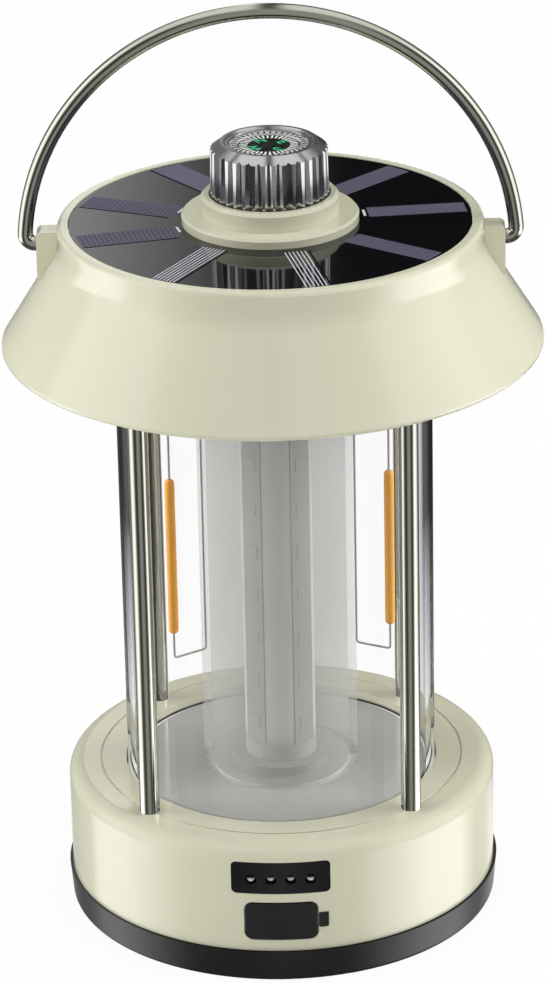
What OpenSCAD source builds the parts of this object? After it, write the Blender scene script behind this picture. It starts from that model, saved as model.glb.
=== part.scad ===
// Solar camping lantern: hat-shaped solar head on four posts, filament lamp, swing bail.
// Units are millimetres, +Z is up, the foot stands on z = 0 and the port faces -Y.

/* [Base] */
// Diameter of the base housing
base_d = 101.8; // [98:0.2:106]
// Height of the base from the floor to its top face
base_h = 34.4; // [32:0.2:38]
// Diameter of the black foot at its widest
foot_d = 103.3; // [102.5:0.1:110]
// Height of the black foot
foot_h = 7.8; // [6.6:0.1:8.2]
// Rounding of the base's top edge
base_edge_r = 3.5; // [1.5:0.1:4.2]

/* [Lamp] */
// Clear height between the base's top and the rim of the shade
lamp_h = 106; // [98:0.5:120]
// Outside diameter of the clear tube
tube_d = 73.6; // [68:0.2:74.4]
// Wall of the clear tube
tube_wall = 2; // [1.4:0.1:2.6]
// Outside diameter of the milky diffuser tube
diffuser_d = 36.8; // [32:0.2:38]
// Diameter of the core column inside the diffuser
core_d = 16.8; // [14:0.2:19]
// Diameter of a post
post_d = 4.7; // [4:0.1:5.4]
// Diameter of the circle that the four posts stand on
post_circle_d = 86.4; // [85.8:0.1:88.4]
// Azimuth of the first post
post_turn = 45; // [42:0.5:48]
// Length of a filament
filament_l = 39.2; // [30:0.2:45]
// Diameter of a filament
filament_d = 2.3; // [1.8:0.1:3]
// Distance of a filament from the lantern's axis
filament_r = 29.2; // [26.5:0.1:31]
// Distance of a hanger's inner leg from the lantern's axis
hanger_r = 20.5; // [20.2:0.1:23]
// Height of a hanger's foot above the base's top
hanger_rise = 32.7; // [20:0.2:45]
// Azimuth of the first hanger
hanger_turn = 94; // [88:0.5:98]
// Diameter of the hanger wire
hanger_wire_d = 0.5; // [0.4:0.05:0.9]

/* [Head] */
// Diameter of the shade's rim
shade_d = 125; // [121:0.5:135]
// Height of the shade's cone above its lip
cone_h = 22; // [20:0.2:26]
// Diameter of the upright collar on the shade
collar_d = 97.6; // [96.6:0.1:99]
// Height of the collar
collar_h = 6.3; // [6:0.1:9]
// Wall of the shade, measured level
shade_wall = 2.6; // [2:0.1:3]
// Diameter of the solar panel
panel_d = 92.2; // [86:0.2:92.6]
// Thickness of the solar panel
panel_t = 2; // [1.5:0.1:2.3]

/* [Dimmer] */
// Diameter of the collar's flange on the panel
flange_d = 40.7; // [36:0.2:44]
// Diameter of the raised boss around the knob
boss_d = 31.7; // [30.6:0.1:34]
// Height of the boss above the panel
boss_h = 6.7; // [6.4:0.1:8.2]
// Diameter of the knob at its foot
knob_d = 27.3; // [26:0.1:28]
// Height of the knob
knob_h = 14.05; // [13.6:0.05:16]
// Number of flutes round the knob
flute_count = 36; // [24:1:40]
// Depth of a flute
flute_depth = 0.65; // [0.5:0.05:1.2]
// Diameter of the compass set in the knob
compass_d = 18.1; // [16:0.1:18.6]

/* [Bail] */
// Diameter of the bail's wire
bail_wire_d = 3.5; // [3:0.1:4]
// Radius of the bail's arc, on the wire's middle
bail_r = 56.3; // [56.2:0.1:60]
// Height of the arc's centre below the pivot
bail_drop = 1.9; // [1:0.1:3]
// Distance of an ear's outer face from the axis
ear_out = 53.6; // [52.6:0.1:53.7]
// Width of an ear
ear_w = 5.6; // [5.6:0.1:8]

/* [Front] */
// Width of the indicator window
window_w = 23; // [20:0.2:25]
// Height of the indicator window
window_h = 8.2; // [6:0.1:8.4]
// Width of the port cover
flap_w = 16.6; // [16:0.1:19]
// Height of the port cover
flap_h = 9.1; // [8:0.1:9.4]
// Number of charge lights
light_count = 4; // [3:1:5]

/* [Fits] */
// Clearance between round parts that are fixed together
slip = 0.1; // [0.06:0.01:0.2]
// Radial running clearance of a pivot
running = 0.05; // [0.03:0.01:0.1]
// Gap kept between parts that move past each other
moving_gap = 0.35; // [0.3:0.05:0.5]

/* [Hidden] */
$fn = 96;

far = 4 * shade_d;
eps = 0.01;

// base
base_r = base_d / 2;
foot_r = foot_d / 2;
foot_taper = 0.6;
foot_edge_r = 0.8;
floor_t = 2.4;
base_wall = 2.2;
base_in_r = base_r - base_wall;
spigot_h = 1.3;
spigot_t = 2.2;
top_t = 2.6;
top_z = base_h - top_t;
seam_w = 0.5;
seam_depth = 0.35;
pocket_depth = 3.6;
pocket_z = base_h - pocket_depth;
pocket_floor_t = 2;
pocket_wall = 1.9;
seal_lip = 0.25;
seal_drop = 1.9;
tube_r = tube_d / 2;
pocket_r = tube_r + seal_lip + 2 * slip;
lead_hole_r = 5;

// screws, bosses and nuts
screw_r = 1.3;
screw_head_r = 2.6;
screw_head_h = 1;
screw_sink = 1.2;
screw_l = 10;
screw_room = 1;
boss_r = 3.2;
foot_boss_inset = 6.3;
foot_boss_r = base_in_r - foot_boss_inset;
foot_boss_angles = [-20, 70, 110, 200];
nut_flats = 5.5;
nut_h = 2;

// battery, board and socket
cell_d = 18.4;
cell_l = 65;
cell_y = 8.5;
holder_t = 1.5;
holder_w = 21;
holder_h = 12.5;
cell_z = floor_t + holder_t + cell_d / 2 + slip;
flap_drop = 18.85;
flap_z = base_h - flap_drop;
socket_w = 13.1;
socket_h = 5.7;
socket_l = 14;
socket_wall = 0.3;
socket_lip = 0.7;
socket_lip_t = 0.4;
socket_back = 1;
tongue_in = 1;
tongue_h = 1.8;
tongue_side = 0.7;
board_t = 1.6;
board_z = flap_z - socket_h / 2 - board_t;
board_w = 30;
board_l = 36;
port_pad = 2.3;
port_face_y = -(base_in_r - port_pad);
board_set = 2.2;
board_y = port_face_y + board_set;
board_screw_x = 11;
board_screw_y = [4, 32];
board_screw_r = 1;
board_head_r = 1.9;
board_screw_l = 5;
standoff_r = 2.5;

// port cover
flap_proud = 0.3;
flap_out_r = base_r + flap_proud;
flap_t = 1.5;
flap_in_r = flap_out_r - flap_t;
flap_corner = 1.7;
recess_r = flap_in_r - moving_gap;
pad_side = 2.8;
pad_lip = 1.05;
pad_w = flap_w + 2 * pad_side;
pad_h = flap_h + 2 * pad_lip;
port_lap = 0.2;
port_w = socket_w - 2 * port_lap;
port_h = socket_h - 2 * port_lap;
plug_play = 0.4;
plug_depth = 1.2;
strap_gap = 0.5;
strap_w = 2.2;
strap_h = 3.7;
strap_corner = 0.5;
strap_seat = 0.2;
strap_floor_y = -(base_in_r - strap_seat);

// indicator window
window_drop = 7.7;
window_z = base_h - window_drop;
window_corner = 1.3;
window_sink = 0.15;
window_rim = 1;
window_rim_t = 1.1;
window_back_r = base_in_r - slip - window_rim_t;
window_half = window_w / 2 + window_rim;
indicator_board_y = slip - sqrt(window_back_r * window_back_r - window_half * window_half);
indicator_board_t = 1.2;
peg_w = 2;
peg_h = 3;
light_r = 1;
light_hole_r = 1.3;
light_sink = 0.3;
light_pitch = 4.6;
light_drop = 0.5;
light_last_x = (light_count - 1) / 2 * light_pitch;
light_tip_y = light_sink - sqrt(pow(base_r - window_sink, 2) - light_last_x * light_last_x);

// lamp
plate_t = 2.5;
plate_z = pocket_z + plate_t;
seal_t = 1.2;
tube_z = pocket_z + seal_t;
tube_in_r = tube_r - tube_wall;
plate_r = tube_in_r - 2 * slip;
diffuser_r = diffuser_d / 2;
diffuser_wall = 2.1;
seat_depth = 1;
core_r = core_d / 2;
core_wall = 2;
socket_ring_w = 3.4;
socket_ring_h = 2.3;
strip_w = 6;
strip_t = 0.4;
strip_bed = 0.2;
strip_inset = core_r - sqrt(core_r * core_r - strip_w * strip_w / 4) + strip_bed;
strip_margin = 4;
chip_w = 2.8;
chip_l = 3.5;
chip_t = 0.2;
chip_count = 9;
post_r = post_d / 2;
post_at = post_circle_d / 2;
post_count = 4;
spigot_r = 1.5;
lead_bore_r = 0.8;
spigot_end = 0.4;
spigot_l = top_t + nut_h + spigot_end;
wire_r = hanger_wire_d / 2;
bend_r = 0.8;
stub = 1.5;
filament_lift = 6.3;
filament_z = base_h + hanger_rise + filament_lift;
filament_top = filament_z + filament_l;

// head
rim_z = base_h + lamp_h;
shade_r = shade_d / 2;
lip_h = 1.2;
lip_r = 0.8;
lip_top = rim_z + lip_h;
collar_r = collar_d / 2;
collar_z = lip_top + cone_h;
head_top = collar_z + collar_h;
cone_slope = (shade_r - collar_r) / cone_h;
cone_angle = atan(cone_slope);
fillet_r = 8;
fillet_l = fillet_r * tan(cone_angle / 2);
rim_round = 1;
panel_sink = 0.2;
panel_z = head_top - panel_sink;
panel_r = panel_d / 2;
deck_t = 2.5;
deck_top = panel_z - panel_t;
deck_z = deck_top - deck_t;
cover_rise = 2.7;
cover_t = 2.4;
cover_z = rim_z + cover_rise;
cover_top = cover_z + cover_t;
cover_gap = 0.5;
groove_depth = 1.4;
upper_seal_t = 0.5;
tube_top = cover_z + groove_depth - upper_seal_t;
cover_screw_at = 50;
cover_screw_l = 9;
ring_board_t = 1.2;
ring_board_side = 2.5;
wire_end = 0.5;
wire_top = cover_top + ring_board_t + wire_end;

// ears and bail
pivot_rise = 1.2;
pivot_z = collar_z + pivot_rise;
ear_rise = 3.4;
ear_top = pivot_z + ear_rise;
ear_low = 14;
ear_round = 1.2;
ear_bore_in = 1.3;
ear_bore_end = collar_r - ear_bore_in;
bail_wire_r = bail_wire_d / 2;
bail_bend_in = 0.45;
bail_bend_r = bail_wire_r + bail_bend_in;
bail_z = pivot_z - bail_drop;
bail_link = 0.5;
bail_knuckle = 0.03;
bail_knuckle_r = bail_wire_r + bail_knuckle;
bail_knuckle_in = 0.2;
bail_start = asin((bail_drop + bail_bend_r + bail_link) / bail_r);
bail_arc_start = bail_start + bail_knuckle_in / bail_r * 180 / PI;
bail_bend_x = bail_r * cos(bail_start) - bail_bend_r;
bail_end_gap = 0.5;
bail_end_x = ear_bore_end + bail_end_gap;

// dimmer and compass
bushing_r = 3.5;
bushing_hole_r = bushing_r + 2 * slip;
flange_r = flange_d / 2;
flange_t = 2.2;
flange_edge = 0.5;
collar_boss_r = boss_d / 2;
boss_top = panel_z + boss_h;
boss_edge = 0.8;
knob_sink = 2.2;
knob_floor = boss_top - knob_sink;
nut_pocket_r = 7;
dimmer_nut_flats = 10;
dimmer_nut_h = 1.8;
nut_sink = 0.2;
nut_pocket_z = knob_floor - dimmer_nut_h - nut_sink;
knob_z = knob_floor + moving_gap + running;
knob_r = knob_d / 2;
knob_top = knob_z + knob_h;
knob_taper = 0.25;
knob_edge_h = 1.65;
knob_edge_w = 2.25;
flute_over = 0.05;
flute_out = knob_r + flute_over;
flute_share = 0.42;
flute_half = 360 / flute_count * flute_share;
compass_r = compass_d / 2;
rim_w = 0.8;
rim_step = 0.35;
bezel_edge = 0.25;
compass_h = 7.85;
compass_z = knob_top - compass_h;
hub_r = 5.5;
skirt_t = 2.4;
skirt_depth = 3.4;
can_r = 8.2;
can_h = 8.6;
shaft_r = 3;
shaft_flat = 2.3;
shaft_seat = 0.3;
can_floor = 2;
shaft_z = deck_z - can_h + can_floor;
shaft_cover = 0.9;
shaft_top = compass_z - shaft_cover;
capsule_r = compass_r - slip;
capsule_wall = 1.6;
capsule_floor = 0.8;
lens_t = 0.5;
lens_sink = 0.05;
capsule_top = knob_top - rim_step - lens_sink - lens_t;
card_r = capsule_r - capsule_wall - moving_gap;
card_t = 0.5;
card_z = capsule_top - moving_gap - card_t;
card_hub_r = 1;
card_hub_h = 0.7;
pivot_r = 0.4;
pivot_in = 0.15;
pivot_top = card_z + pivot_in;

// rounded rectangle drawn about its middle
module rounded(w, h, r) {
    square([w - 2 * r, h], center = true);
    square([w, h - 2 * r], center = true);
    for (x = [-1, 1], z = [-1, 1]) {
        translate([x * (w / 2 - r), z * (h / 2 - r)]) circle(r);
    }
}

// shape of the front face carried straight back from y = -far to y = back
module front_prism(back) {
    translate([0, back, 0]) rotate([90, 0, 0]) linear_extrude(far + back) children();
}

// hollow ring standing on its edge radii, from z0 to z1
module ring(r_in, r_out, z0, z1) {
    translate([0, 0, z0]) {
        difference() {
            cylinder(r = r_out, h = z1 - z0);
            translate([0, 0, -eps]) cylinder(r = r_in, h = z1 - z0 + 2 * eps);
        }
    }
}

// upright rod
module rod(r, z0, z1) {
    translate([0, 0, z0]) cylinder(r = r, h = z1 - z0);
}

// hexagon nut with a plain bore
module nut(flats, h, bore) {
    difference() {
        cylinder(r = flats / sqrt(3), h = h, $fn = 6);
        translate([0, 0, -eps]) cylinder(r = bore, h = h + 2 * eps);
    }
}

// places a copy on each of the four post centres
module at_posts() {
    for (i = [0:post_count - 1]) {
        rotate([0, 0, post_turn + i * 360 / post_count]) translate([post_at, 0, 0]) children();
    }
}

// places a copy on each of the screw bosses under the base
module at_foot_bosses() {
    for (a = foot_boss_angles) {
        rotate([0, 0, a]) translate([foot_boss_r, 0, 0]) children();
    }
}

// places a copy on each of the cover's screws
module at_cover_screws() {
    for (a = [0:90:270]) {
        rotate([0, 0, a]) translate([cover_screw_at, 0, 0]) children();
    }
}

// places a copy on each of the board's screws
module at_board_screws() {
    for (x = [-1, 1], y = board_screw_y) {
        translate([x * board_screw_x, board_y + y, 0]) children();
    }
}

// places a copy on each charge light
module at_lights() {
    for (i = [0:light_count - 1]) {
        translate([i * light_pitch - light_last_x, window_z - light_drop]) children();
    }
}

// black dish that closes the base and shows as its foot
module foot_cover() {
    color("#2b2b29") {
        difference() {
            union() {
                rotate_extrude() {
                    difference() {
                        union() {
                            square([foot_r - foot_taper - foot_edge_r, foot_h]);
                            translate([foot_r - foot_taper - foot_edge_r, foot_edge_r]) circle(foot_edge_r);
                            polygon([
                                [0, foot_edge_r], [foot_r - foot_taper, foot_edge_r],
                                [foot_r, foot_h], [0, foot_h]
                            ]);
                            square([base_in_r - slip, foot_h + spigot_h]);
                        }
                        translate([0, floor_t]) square([base_in_r - slip - spigot_t, far]);
                    }
                }
                at_board_screws() rod(standoff_r, floor_t - eps, board_z);
            }
            at_foot_bosses() {
                rod(screw_r + slip, -eps, floor_t + eps);
                rod(screw_head_r + slip, -eps, screw_sink);
            }
            at_board_screws() rod(board_screw_r + slip, floor_t + eps, board_z + eps);
        }
    }
}

// four screws that hold the foot to the housing
module foot_screws() {
    color("#8f8f8a") {
        at_foot_bosses() {
            rod(screw_head_r, screw_sink - screw_head_h, screw_sink);
            rod(screw_r, screw_sink - eps, screw_sink + screw_l);
        }
    }
}

// outline of the port cover's recess, with room for the strap beside it
module flap_recess() {
    difference() {
        front_prism(-base_in_r / 2) {
            translate([0, flap_z]) {
                rounded(flap_w + 2 * moving_gap, flap_h + 2 * moving_gap, flap_corner + moving_gap);
            }
        }
        rod(recess_r, 0, far);
    }
}

// cream housing: outer wall, top face with its seam, tube pocket, bosses and front openings
module base_housing() {
    color("#d3d1ba") {
        difference() {
            union() {
                rotate_extrude() {
                    difference() {
                        union() {
                            translate([0, foot_h]) square([base_r - base_edge_r, base_h - foot_h]);
                            translate([0, foot_h]) square([base_r, base_h - foot_h - base_edge_r]);
                            translate([base_r - base_edge_r, base_h - base_edge_r]) circle(base_edge_r);
                        }
                        translate([0, -far + top_z]) square([base_in_r, far]);
                        translate([post_at - seam_w / 2, base_h - seam_depth]) square([seam_w, far]);
                        square([pocket_r, far]);
                    }
                    difference() {
                        translate([0, pocket_z - pocket_floor_t]) {
                            square([pocket_r + pocket_wall, top_z + eps - pocket_z + pocket_floor_t]);
                        }
                        translate([0, pocket_z]) square([pocket_r, far]);
                    }
                }
                at_foot_bosses() rod(boss_r, floor_t, top_z + eps);
                intersection() {
                    translate([-pad_w / 2, -far, flap_z - pad_h / 2]) cube([pad_w, far + port_face_y, pad_h]);
                    rod((base_in_r + base_r) / 2, 0, far);
                }
            }
            rod(lead_hole_r, 0, far);
            at_foot_bosses() rod(screw_r + slip, 0, screw_sink + screw_l + screw_room);
            at_posts() rod(spigot_r + slip, top_z - eps, far);
            flap_recess();
            front_prism(-base_in_r / 2) {
                translate([0, flap_z]) square([port_w, port_h], center = true);
                translate([0, window_z]) rounded(window_w, window_h, window_corner - slip);
            }
            front_prism(strap_floor_y) {
                translate([flap_w / 2, flap_z - strap_h / 2]) square([strap_gap + strap_w, strap_h]);
            }
        }
    }
}

// open cradle for the cell
module battery_holder() {
    color("#1f1f1f") {
        difference() {
            translate([-cell_l / 2 - holder_t, cell_y - holder_w / 2, floor_t]) {
                cube([cell_l + 2 * holder_t, holder_w, holder_h]);
            }
            translate([-cell_l / 2, cell_y - holder_w / 2 - eps, floor_t + holder_t]) {
                cube([cell_l, holder_w + 2 * eps, far]);
            }
        }
    }
}

// rechargeable cell lying across the base
module battery_cell() {
    color("#3f6f9a") {
        translate([-cell_l / 2, cell_y, cell_z]) rotate([0, 90, 0]) cylinder(d = cell_d, h = cell_l);
    }
}

// charging and dimming board
module main_board() {
    color("#2f5d3a") {
        difference() {
            translate([-board_w / 2, board_y, board_z]) cube([board_w, board_l, board_t]);
            at_board_screws() rod(board_screw_r + slip, board_z - eps, board_z + board_t + eps);
        }
    }
}

// four screws that hold the board to its standoffs
module board_screws() {
    color("#9a9a94") {
        at_board_screws() {
            rod(board_head_r, board_z + board_t, board_z + board_t + screw_head_h);
            rod(board_screw_r, board_z + board_t - board_screw_l, board_z + board_t + eps);
        }
    }
}

// charging socket: folded shell with a mouth flange and a contact tongue
module usb_socket() {
    inside_w = socket_w - 2 * socket_wall;
    inside_h = socket_h - 2 * socket_wall;
    color("#b9bbbc") {
        translate([0, port_face_y, flap_z]) rotate([-90, 0, 0]) {
            difference() {
                union() {
                    linear_extrude(socket_l) square([socket_w, socket_h], center = true);
                    linear_extrude(socket_lip_t) {
                        square([socket_w + 2 * socket_lip, socket_h + 2 * socket_lip], center = true);
                    }
                }
                translate([0, 0, -eps]) {
                    linear_extrude(socket_l - socket_back) square([inside_w, inside_h], center = true);
                }
            }
            translate([-inside_w / 2 + tongue_side, -inside_h / 2 + tongue_side, tongue_in]) {
                cube([inside_w - 2 * tongue_side, tongue_h, socket_l - socket_back / 2 - tongue_in]);
            }
        }
    }
}

// dark window in the wall, with its retaining rim and two pegs for the board behind it
module indicator_window() {
    color("#141414") {
        difference() {
            union() {
                intersection() {
                    front_prism(-base_in_r / 2) translate([0, window_z]) rounded(window_w, window_h, window_corner);
                    ring(window_back_r, base_r - window_sink, 0, far);
                }
                intersection() {
                    front_prism(-base_in_r / 2) {
                        translate([0, window_z]) {
                            square([2 * window_half, window_h + window_rim], center = true);
                        }
                    }
                    ring(window_back_r, base_in_r - slip, 0, far);
                }
                intersection() {
                    for (x = [-1, 1]) {
                        front_prism(indicator_board_y) {
                            translate([x * (window_w / 2 - peg_w / 2), window_z]) square([peg_w, peg_h], center = true);
                        }
                    }
                    rod(base_in_r - window_rim_t / 2, 0, far);
                }
            }
            front_prism(-base_in_r / 2) at_lights() circle(light_hole_r);
        }
    }
}

// domed charge lights that stand on their board and end just behind the window's face
module indicator_lights() {
    stem = indicator_board_y - light_tip_y - light_r;
    color("#c9d2cf") {
        translate([0, indicator_board_y, 0]) rotate([90, 0, 0]) at_lights() {
            cylinder(r = light_r, h = stem);
            translate([0, 0, stem]) sphere(light_r);
        }
    }
}

// small upright board behind the window
module indicator_board() {
    board_h = window_h + window_rim;
    color("#2f5d3a") {
        translate([-window_half, indicator_board_y, window_z - board_h / 2]) {
            cube([2 * window_half, indicator_board_t, board_h]);
        }
    }
}

// rubber tab that anchors the port cover
module port_strap() {
    color("#2e2e2e") {
        intersection() {
            front_prism(strap_floor_y) {
                translate([flap_w / 2 + strap_gap + strap_w / 2, flap_z]) rounded(strap_w, strap_h, strap_corner);
            }
            rod(flap_out_r, 0, far);
        }
    }
}

// rubber cover over the port, with a plug on its back
module port_cover() {
    color("#353535") {
        intersection() {
            front_prism(-base_in_r / 2) translate([0, flap_z]) rounded(flap_w, flap_h, flap_corner);
            ring(flap_in_r, flap_out_r, 0, far);
        }
        intersection() {
            front_prism(plug_depth - flap_in_r) {
                translate([0, flap_z]) square([port_w - 2 * plug_play, port_h - 2 * plug_play], center = true);
            }
            rod(flap_out_r - flap_t / 2, 0, far);
        }
    }
}

// black seal under and round the foot of the clear tube
module lower_gasket() {
    color("#161616") {
        ring(tube_in_r, tube_r + slip + seal_lip, pocket_z, tube_z);
        ring(tube_r + slip, tube_r + slip + seal_lip, tube_z - eps, base_h - seal_drop);
    }
}

// glossy grey plate that the lamp stands on
module reflector_plate() {
    color("#a8a8a4") {
        difference() {
            rod(plate_r, pocket_z, plate_z);
            ring(diffuser_r - diffuser_wall - slip, diffuser_r + slip, plate_z - seat_depth, plate_z + eps);
            rod(lead_hole_r, 0, far);
        }
    }
}

// clear outer tube
module outer_tube() {
    color("#dfe8ea", 0.35) ring(tube_in_r, tube_r, tube_z, tube_top);
}

// milky tube round the core
module diffuser_tube() {
    color("#f1efec", 0.7) {
        ring(diffuser_r - diffuser_wall, diffuser_r, plate_z - seat_depth, cover_z + seat_depth);
    }
}

// ring that centres the core on the plate
module core_socket() {
    color("#c4c4c0") ring(core_r + slip, core_r + socket_ring_w, plate_z, plate_z + socket_ring_h);
}

// places a copy on each of the four faces of the core
module at_core_faces() {
    for (a = [45:90:315]) {
        rotate([0, 0, a]) translate([core_r - strip_inset, -strip_w / 2, plate_z + socket_ring_h]) children();
    }
}

// hollow column that carries the LED strips
module core_column() {
    color("#a2a2a0") {
        difference() {
            ring(core_r - core_wall, core_r, plate_z, cover_z);
            at_core_faces() {
                translate([0, -slip, strip_margin - slip]) {
                    cube([core_r, strip_w + 2 * slip, cover_z - plate_z - socket_ring_h - 2 * (strip_margin - slip)]);
                }
            }
        }
    }
}

// four LED strips on the faces of the core, each with a row of chips
module led_strips() {
    strip_l = cover_z - plate_z - socket_ring_h - 2 * strip_margin;
    chip_pitch = strip_l / chip_count;
    color("#f3e9c8") {
        at_core_faces() {
            translate([0, 0, strip_margin]) {
                cube([strip_t, strip_w, strip_l]);
                for (i = [0:chip_count - 1]) {
                    translate([0, (strip_w - chip_w) / 2, (i + 0.5) * chip_pitch - chip_l / 2]) {
                        cube([strip_t + chip_t, chip_w, chip_l]);
                    }
                }
            }
        }
    }
}

// polished tube between base and head, with a spigot at each end and a lead hole through it
module post(i) {
    color("#7b7a6e") {
        rotate([0, 0, post_turn + i * 360 / post_count]) translate([post_at, 0, 0]) {
            difference() {
                union() {
                    rod(post_r, base_h, cover_z);
                    rod(spigot_r, base_h - spigot_l, cover_z + spigot_l);
                }
                rod(lead_bore_r, 0, far);
            }
        }
    }
}

module post_1() {
    post(0);
}

module post_2() {
    post(1);
}

module post_3() {
    post(2);
}

module post_4() {
    post(3);
}

// nuts on the lower spigots
module lower_nuts() {
    color("#9a9a94") at_posts() translate([0, 0, top_z - nut_h]) nut(nut_flats, nut_h, spigot_r + slip);
}

// nuts on the upper spigots
module upper_nuts() {
    color("#9a9a94") at_posts() translate([0, 0, cover_top]) nut(nut_flats, nut_h, spigot_r + slip);
}

// places a copy in the plane of hanger i
module at_hanger(i) {
    rotate([0, 0, hanger_turn + 120 * i]) children();
}

// quarter bend of the hanger wire, drawn in the XZ plane about its own centre
module wire_bend(turn) {
    rotate([90, 0, 0]) rotate([0, 0, turn]) rotate_extrude(angle = 90) translate([bend_r, 0]) circle(wire_r);
}

// wire from the head down, across and up into the foot of a filament
module hanger(i) {
    foot_z = base_h + hanger_rise;
    color("#8d8a7c") {
        at_hanger(i) {
            translate([hanger_r, 0, 0]) rod(wire_r, foot_z + bend_r, wire_top);
            translate([hanger_r + bend_r, 0, foot_z + bend_r]) wire_bend(180);
            translate([hanger_r + bend_r, 0, foot_z]) rotate([0, 90, 0]) {
                cylinder(r = wire_r, h = filament_r - hanger_r - 2 * bend_r);
            }
            translate([filament_r - bend_r, 0, foot_z + bend_r]) wire_bend(270);
            translate([filament_r, 0, 0]) rod(wire_r, foot_z + bend_r, filament_z + stub);
        }
    }
}

module hanger_1() {
    hanger(0);
}

module hanger_2() {
    hanger(1);
}

module hanger_3() {
    hanger(2);
}

// amber LED filament with round ends and a wire hole in each
module filament(i) {
    end_r = filament_d / 2;
    color("#d29a55") {
        at_hanger(i) {
            translate([filament_r, 0, 0]) {
                difference() {
                    union() {
                        rod(end_r, filament_z + end_r, filament_top - end_r);
                        translate([0, 0, filament_z + end_r]) sphere(end_r);
                        translate([0, 0, filament_top - end_r]) sphere(end_r);
                    }
                    rod(wire_r + running, 0, filament_z + stub);
                    rod(wire_r + running, filament_top - stub, far);
                }
            }
        }
    }
}

module filament_1() {
    filament(0);
}

module filament_2() {
    filament(1);
}

module filament_3() {
    filament(2);
}

// straight lead from the head of a filament up to the ring board
module lead(i) {
    color("#8d8a7c") {
        at_hanger(i) translate([filament_r, 0, 0]) rod(wire_r, filament_top - stub, wire_top);
    }
}

module lead_1() {
    lead(0);
}

module lead_2() {
    lead(1);
}

module lead_3() {
    lead(2);
}

// holes for the six hanger wires
module wire_holes() {
    for (i = [0:2]) {
        at_hanger(i) {
            translate([hanger_r, 0, 0]) rod(wire_r + running, cover_z - eps, far);
            translate([filament_r, 0, 0]) rod(wire_r + running, cover_z - eps, far);
        }
    }
}

// ring board that feeds the filaments
module filament_board() {
    color("#2f5d3a") {
        difference() {
            ring(hanger_r - ring_board_side, filament_r + ring_board_side, cover_top, cover_top + ring_board_t);
            wire_holes();
        }
    }
}

// seal over the clear tube
module upper_gasket() {
    color("#161616") ring(tube_in_r, tube_r, tube_top, tube_top + upper_seal_t);
}

// radius of the shade's inner face at a height
function shade_in_r(z) = shade_r - shade_wall - (z - lip_top) * cone_slope;

// white plate that closes the head and reflects the light down
module head_cover() {
    color("#efeee8") {
        difference() {
            translate([0, 0, cover_z]) {
                cylinder(
                    r1 = shade_in_r(cover_z) - cover_gap,
                    r2 = shade_in_r(cover_top) - cover_gap,
                    h = cover_t
                );
            }
            ring(tube_in_r - slip, tube_r + slip, cover_z - eps, cover_z + groove_depth);
            ring(diffuser_r - diffuser_wall - slip, diffuser_r + slip, cover_z - eps, cover_z + seat_depth);
            at_posts() rod(spigot_r + slip, cover_z - eps, far);
            at_cover_screws() rod(screw_r + slip, cover_z - eps, far);
            wire_holes();
        }
    }
}

// four screws that hold the cover to the shade
module cover_screws() {
    color("#8f8f8a") {
        at_cover_screws() {
            rod(screw_head_r, cover_z - screw_head_h, cover_z);
            rod(screw_r, cover_z - eps, cover_z + cover_screw_l);
        }
    }
}

// outer shape of the shade: lip, cone, hollow sweep, collar and rounded rim
module shade_outline() {
    difference() {
        union() {
            translate([0, rim_z]) square([shade_r - lip_r, lip_r]);
            translate([shade_r - lip_r, rim_z + lip_r]) circle(lip_r);
            polygon([
                [0, rim_z + lip_r], [shade_r, rim_z + lip_r], [shade_r, lip_top],
                [collar_r + fillet_l * sin(cone_angle), collar_z - fillet_l * cos(cone_angle)],
                [collar_r, collar_z + fillet_l], [collar_r, head_top - rim_round],
                [0, head_top - rim_round]
            ]);
            square([collar_r - rim_round, head_top]);
            translate([collar_r - rim_round, head_top - rim_round]) circle(rim_round);
        }
        translate([collar_r + fillet_r, collar_z + fillet_l]) circle(fillet_r);
        translate([0, -far + rim_z]) square([far, far]);
    }
}

// ear that takes the end of the bail
module ear() {
    rotate([90, 0, 0]) linear_extrude(ear_w, center = true) {
        translate([0, ear_top - ear_low]) square([ear_out, ear_low - ear_round]);
        square([ear_out - ear_round, ear_top]);
        translate([ear_out - ear_round, ear_top - ear_round]) circle(ear_round);
    }
}

// hat-shaped shade with its deck for the panel, ears and screw bosses
module shade() {
    color("#d6d5bb") {
        difference() {
            union() {
                rotate_extrude() shade_outline();
                for (a = [0, 180]) {
                    rotate([0, 0, a]) {
                        intersection() {
                            ear();
                            translate([panel_r, -ear_w, collar_z - ear_low / 2]) cube([far, 2 * ear_w, far]);
                        }
                    }
                }
            }
            difference() {
                rotate_extrude() {
                    polygon([
                        [0, rim_z - lip_h], [shade_r - shade_wall, rim_z - lip_h], [shade_r - shade_wall, lip_top],
                        [shade_in_r(deck_z), deck_z], [0, deck_z]
                    ]);
                }
                at_cover_screws() rod(boss_r, cover_top, far);
            }
            rod(panel_r + 2 * slip, deck_top, far);
            rod(bushing_hole_r, 0, far);
            at_cover_screws() rod(screw_r + slip, 0, cover_z + cover_screw_l + screw_room);
            for (a = [0, 180]) {
                rotate([0, 0, a]) translate([ear_bore_end, 0, pivot_z]) rotate([0, 90, 0]) {
                    cylinder(r = bail_wire_r + running, h = far);
                }
            }
        }
    }
}

// ring-shaped solar panel
module solar_panel() {
    color("#111113") ring(bushing_hole_r, panel_r, deck_top, panel_z);
}

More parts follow.
